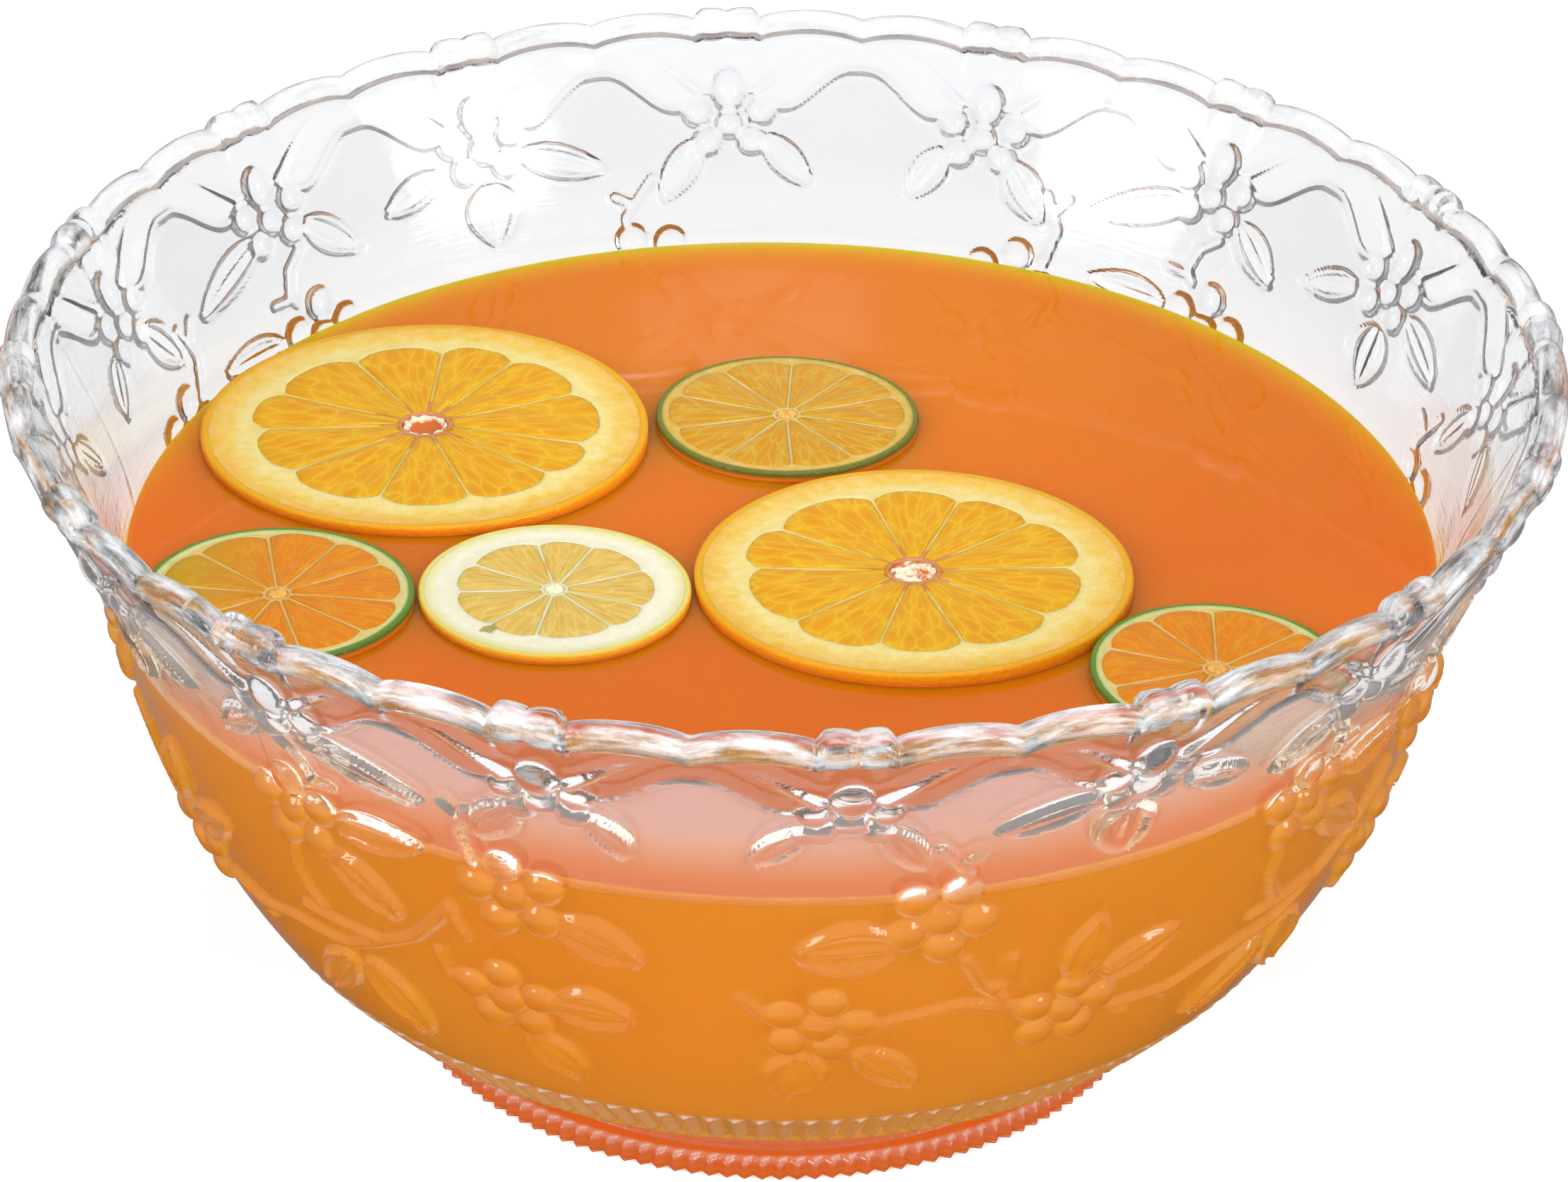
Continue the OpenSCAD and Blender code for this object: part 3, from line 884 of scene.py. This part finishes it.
LEMON = dict(
    peel=(srgb(240, 224, 120), srgb(238, 180, 40)),
    pith=(srgb(244, 234, 196), srgb(245, 238, 210), srgb(238, 224, 150)), membrane=srgb(240, 222, 166),
    pulp=(srgb(220, 172, 70), srgb(226, 186, 86), srgb(238, 212, 138)),
)
PUNCH_IN_CORE, CORE_WHITE, LIME_CORE = srgb(212, 104, 30), srgb(252, 238, 205), srgb(234, 178, 84)
OPEN_CORE = "orange_left"
WET_AND_GLOW_HEIGHT = 1.2  # how far up a peel's side above the surface the punch wets it and gives it a painted orange glow
PUNCH_WET_AND_GLOW_ON_PEEL = srgb(224, 118, 30)
# Marks on the lemon: place from its middle and size in millimetres, colour
LEMON_MARKS = (
    ((-11.6, -15.6), 2.6, srgb(170, 150, 70)),
    ((-2.6, 8.5), 3.0, srgb(238, 176, 80)),
    ((18.0, 0.0), 2.0, srgb(238, 160, 50)),
)
COLOURS = {
    "orange_left": ORANGE, "orange_right": ORANGE, "lime_back": LIME_DARK,
    "lime_left": LIME_GREEN, "lime_right": LIME_GREEN, "lemon": LEMON,
}


def peel_material(slice_):
    m = Nodes(slice_.name + "_peel")
    on_top, at_side = COLOURS[slice_.name]["peel"]
    r = m.node("ShaderNodeSeparateXYZ", {0: m.coords("UV")}).outputs[1]
    t = m.math("DIVIDE", m.math("SUBTRACT", r, (slice_.radius - 0.7) / 10), 0.06, clamp=True)
    patches = m.noise(m.coords(), 90, 3, 0.6)
    pores = m.voronoi(m.coords(), 900)
    colour = m.mix(t, on_top, at_side)
    colour = m.mix(m.math("MULTIPLY", patches, 0.35), colour, tuple(c * 0.72 for c in at_side))
    z = m.node("ShaderNodeSeparateXYZ", {0: m.coords()}).outputs[2]
    # the peel's side just above the punch: punch on the peel and a painted orange glow from it
    wet = m.math("DIVIDE", m.math("SUBTRACT", (PUNCH_LEVEL + WET_AND_GLOW_HEIGHT) * MM, z), 0.8 * MM, clamp=True)
    colour = m.mix(wet, colour, PUNCH_WET_AND_GLOW_ON_PEEL)
    m.set(
        Base_Color=colour, Roughness=0.3, Subsurface_Weight=0.3,
        Subsurface_Radius=(1.0, 0.6, 0.2), Subsurface_Scale=0.002,
        Normal=m.bump(pores, 0.4, 0.0004), Specular_IOR_Level=0.3,
    )
    return m.material


def marked(m, slice_, colour):
    """Adds the marks on the lemon to a colour."""
    if slice_.name != "lemon":
        return colour
    uneven = m.noise(m.coords(), 500, 3, 0.7)
    for (dx, dy), size, mark in LEMON_MARKS:
        centre = ((slice_.x + dx) * MM, (slice_.y + dy) * MM, PUNCH_LEVEL * MM)
        away = m.node("ShaderNodeVectorMath", {0: m.coords(), 1: centre}, operation="DISTANCE").outputs["Value"]
        ragged = m.math("MULTIPLY", m.math("SUBTRACT", uneven, 0.5), 1.4)
        away = m.math("ADD", m.math("DIVIDE", away, size * MM), ragged)
        colour = m.mix(m.ramp(away, [(0.75, (0.9, 0.9, 0.9)), (1.0, (0, 0, 0))]), colour, mark)
    return colour


def pith_material(slice_):
    m = Nodes(slice_.name + "_pith")
    inner, middle, outer_ = COLOURS[slice_.name]["pith"]
    membrane = COLOURS[slice_.name]["membrane"]
    r = m.node("ShaderNodeSeparateXYZ", {0: m.coords("UV")}).outputs[1]
    fibres = m.noise(m.coords(), 420, 4, 0.65)
    blotch = m.noise(m.coords(), 150, 4, 0.7)
    edge = (slice_.radius - slice_.k["peel"]) / 10
    start = slice_.radius * slice_.k["pulp"] / 10
    t = m.math("DIVIDE", m.math("SUBTRACT", r, start), edge - start)
    t = m.math("ADD", t, m.math("MULTIPLY", m.math("SUBTRACT", blotch, 0.5), 0.8))
    colour = m.ramp(t, [(0.15, inner), (0.5, middle), (0.9, outer_)])
    at_pulp = m.math("DIVIDE", m.math("SUBTRACT", r, start * 0.80), start * 0.16, clamp=True)
    if slice_.kind == "orange":
        gap = m.math("ADD", r, m.math("MULTIPLY", m.math("SUBTRACT", blotch, 0.5), 1.2))
        membrane = m.ramp(gap, [(0.85, PUNCH_IN_CORE), (1.0, membrane)])
    colour = m.mix(at_pulp, membrane, colour)
    colour = m.mix(0.18, colour, m.ramp(fibres, [(0.3, tuple(c * 0.7 for c in middle)), (0.7, (1, 0.98, 0.9))]))
    colour = marked(m, slice_, colour)
    m.set(
        Base_Color=colour, Roughness=0.42, Specular_IOR_Level=0.3,
        Subsurface_Weight=0.4, Subsurface_Radius=(1.0, 0.8, 0.4), Subsurface_Scale=0.003,
        Normal=m.bump(fibres, 0.5, 0.0005),
    )
    return m.material


def pulp_material(slice_):
    m = Nodes(slice_.name + "_pulp")
    deep, mid, vein = COLOURS[slice_.name]["pulp"]
    uv = m.coords("UV")
    wobble = m.node("ShaderNodeTexNoise", {"Vector": m.coords(), "Scale": 130, "Detail": 2}).outputs["Color"]
    long_cells = m.scaled(uv, (64, 1.3, 1))
    bent = m.node("ShaderNodeVectorMath", {0: long_cells, 1: wobble}, operation="ADD").outputs[0]
    sacs = m.voronoi(bent, 1.0, "DISTANCE_TO_EDGE")
    cells = m.voronoi(bent, 1.0, "F1")
    rays = m.noise(m.scaled(uv, (150, 0.7, 1)), 1.0, 3, 0.6)
    colour = m.ramp(cells, [(0.1, deep), (0.7, mid)])
    lines = m.ramp(sacs, [(0.0, (1, 1, 1)), (0.09, (0, 0, 0))])
    streaks = m.ramp(rays, [(0.52, (0, 0, 0)), (0.72, (1, 1, 1))])
    colour = m.mix(m.math("MULTIPLY", lines, 0.5), colour, vein)
    colour = m.mix(m.math("MULTIPLY", streaks, 0.4), colour, vein)
    colour = marked(m, slice_, colour)
    if slice_.name == "lime_left":
        x = m.node("ShaderNodeSeparateXYZ", {0: m.coords()}).outputs[0]
        left = m.math("DIVIDE", m.math("SUBTRACT", slice_.x * MM, x), slice_.radius * MM, clamp=True)
        colour = m.mix(m.math("MULTIPLY", left, 0.9), colour, srgb(180, 158, 20))
    m.set(
        Base_Color=colour, Roughness=0.16, IOR=1.33, Subsurface_Weight=0.45, Subsurface_Radius=(1.0, 0.5, 0.15),
        Subsurface_Scale=0.004, Normal=m.bump(sacs, 0.45, 0.0005),
    )
    return m.material


def core_material(slice_):
    """Loose white fibre. In the left orange it has come away in the middle and the punch shows."""
    m = Nodes(slice_.name + "_core")
    soft = m.noise(m.coords(), 380, 4, 0.7)
    shadow = PUNCH_IN_CORE if slice_.kind == "orange" else COLOURS[slice_.name]["pulp"][0]
    amount = 0.40 if slice_.kind == "orange" else 0.30
    fibre = LIME_CORE if slice_.kind == "lime" else CORE_WHITE
    colour = m.ramp(soft, [(amount, shadow), (amount + 0.1, fibre)])
    rough = 0.45
    if slice_.name == OPEN_CORE:
        r = m.node("ShaderNodeSeparateXYZ", {0: m.coords("UV")}).outputs[1]
        t = m.math("ADD", r, m.math("MULTIPLY", m.math("SUBTRACT", soft, 0.5), 0.35))
        colour = m.ramp(t, [(0.33, PUNCH_IN_CORE), (0.38, CORE_WHITE)])
        rough = 0.08
    m.set(
        Base_Color=colour, Roughness=rough, Subsurface_Weight=0.4, Subsurface_Scale=0.002,
        Normal=m.bump(soft, 0.3 if slice_.name == OPEN_CORE else 0.8, 0.0008),
    )
    return m.material


# Light through the punch on the floor: under the bowl, and at the foot ring
UNDER_BOWL, UNDER_RING = srgb(214, 88, 22), srgb(216, 94, 20)


def floor_material():
    """White, glowing a little as a lit sweep does, brighter in front; orange inside the foot ring, a painted
    glow of light through the punch.
    """
    m = Nodes("pale_floor")
    place = m.coords()
    far = m.node("ShaderNodeVectorMath", {0: place}, operation="LENGTH").outputs["Value"]
    r = m.math("MULTIPLY", far, 1 / MM / 100)
    ring, edge = (FOOT_R - 5) / 100, (FOOT_R - 1.5) / 100
    stops = [(ring - 0.02, UNDER_BOWL), (ring + 0.015, UNDER_RING)]
    stops += [(edge - 0.01, UNDER_RING), (edge + 0.01, (1, 1, 1))]
    colour = m.ramp(r, stops)
    front = m.math("DIVIDE", m.node("ShaderNodeSeparateXYZ", {0: place}).outputs[1], -0.25, clamp=True)
    m.set(
        Base_Color=(0.20, 0.20, 0.20, 1), Roughness=0.8, Specular_IOR_Level=0.0, Emission_Color=colour,
        Emission_Strength=m.math("ADD", m.math("MULTIPLY", front, 0.5), 0.87),
    )
    return m.material


for spec in SLICES:
    s = Slice(*spec)
    s.make_peel().data.materials.append(peel_material(s))
    s.make_pith().data.materials.append(pith_material(s))
    s.make_segments().data.materials.append(pulp_material(s))
    s.make_core().data.materials.append(core_material(s))
bowl.data.materials.append(clear_acrylic())
punch.data.materials.append(punch_side())
punch.data.materials.append(punch_top())


# ---------------------------------------------------------------- floor, light and camera
# Softboxes: direction and strength
SOFTBOXES = (((0.75, -0.56, 0.34), 9.0), ((-0.79, -0.52, 0.32), 9.0), ((0.05, -0.30, 0.95), 5.0))


# The camera, as fitted to the photograph: lengths in rim radii, angles in degrees, lens and sensor in mm
CAMERA_DISTANCE, AIM_RIGHT, AIM_UP = 8.479, 0.004, 0.592
LOOKS_DOWN, ROLL = 30.10, 0.99
LENS, SENSOR = 145.8, 36
FAR_CLIP = 20  # metres


def make_floor():
    v = [(-1500, -1500, 0), (1500, -1500, 0), (1500, 1500, 0), (-1500, 1500, 0)]
    floor = new_mesh("floor", v, [(0, 1, 2, 3)])
    floor.data.materials.append(floor_material())
    floor.visible_glossy = False


def make_world():
    """A pale studio: bright in front and overhead, with softboxes, and the punch's glow from the table."""
    world = bpy.data.worlds.new("studio")
    bpy.context.scene.world = world
    world.use_nodes = True
    tree = world.node_tree
    back = tree.nodes["Background"]
    where = tree.nodes.new("ShaderNodeTexCoord").outputs["Generated"]
    split = tree.nodes.new("ShaderNodeSeparateXYZ")
    tree.links.new(where, split.inputs[0])

    def step(value, low, high, out_low, out_high):
        n = tree.nodes.new("ShaderNodeMapRange")
        n.interpolation_type = "SMOOTHSTEP"
        tree.links.new(value, n.inputs["Value"])
        for key, number in (("From Min", low), ("From Max", high), ("To Min", out_low), ("To Max", out_high)):
            n.inputs[key].default_value = number
        return n.outputs[0]

    def add(a, b):
        n = tree.nodes.new("ShaderNodeMath")
        tree.links.new(a, n.inputs[0])
        tree.links.new(b, n.inputs[1])
        return n.outputs[0]

    total = step(split.outputs["Y"], -0.6, 0.5, 0.70, 0.16)
    total = add(total, step(split.outputs["Z"], -0.15, 0.15, 0.15, 0.30))
    total = add(total, step(split.outputs["Z"], 0.55, 0.95, 0.0, 0.30))
    for direction, strength in SOFTBOXES:
        dot = tree.nodes.new("ShaderNodeVectorMath")
        dot.operation = "DOT_PRODUCT"
        tree.links.new(where, dot.inputs[0])
        dot.inputs[1].default_value = Vector(direction).normalized()
        total = add(total, step(dot.outputs["Value"], 0.968, 0.990, 0.0, strength))
    tree.links.new(total, back.inputs["Strength"])
    tint = tree.nodes.new("ShaderNodeMix")
    tint.data_type = "RGBA"
    tree.links.new(step(split.outputs["Z"], -0.75, -0.45, 0.0, 1.0), tint.inputs[0])
    tint.inputs[6].default_value = (0.60, 0.20, 0.06, 1)
    tint.inputs[7].default_value = (0.96, 0.98, 1.0, 1)
    tree.links.new(tint.outputs[2], back.inputs["Color"])


def make_camera():
    rim = RIM_R * MM
    aim = Vector((AIM_RIGHT * rim, 0, AIM_UP * rim))
    tilt, roll = math.radians(LOOKS_DOWN), math.radians(ROLL)
    forward = Vector((0, math.cos(tilt), -math.sin(tilt)))
    right = Vector((1, 0, 0))
    up = right.cross(forward)
    right, up = math.cos(roll) * right + math.sin(roll) * up, math.cos(roll) * up - math.sin(roll) * right
    data = bpy.data.cameras.new("camera")
    data.lens, data.sensor_width = LENS, SENSOR
    data.clip_end = FAR_CLIP
    camera = bpy.data.objects.new("camera", data)
    place = aim - CAMERA_DISTANCE * rim * forward
    turn = Matrix((right, up, -forward)).transposed()
    camera.matrix_world = Matrix.Translation(place) @ turn.to_4x4()
    bpy.context.scene.collection.objects.link(camera)
    bpy.context.scene.camera = camera


make_floor()
make_world()
make_camera()
bpy.context.scene.view_settings.view_transform = "Standard"
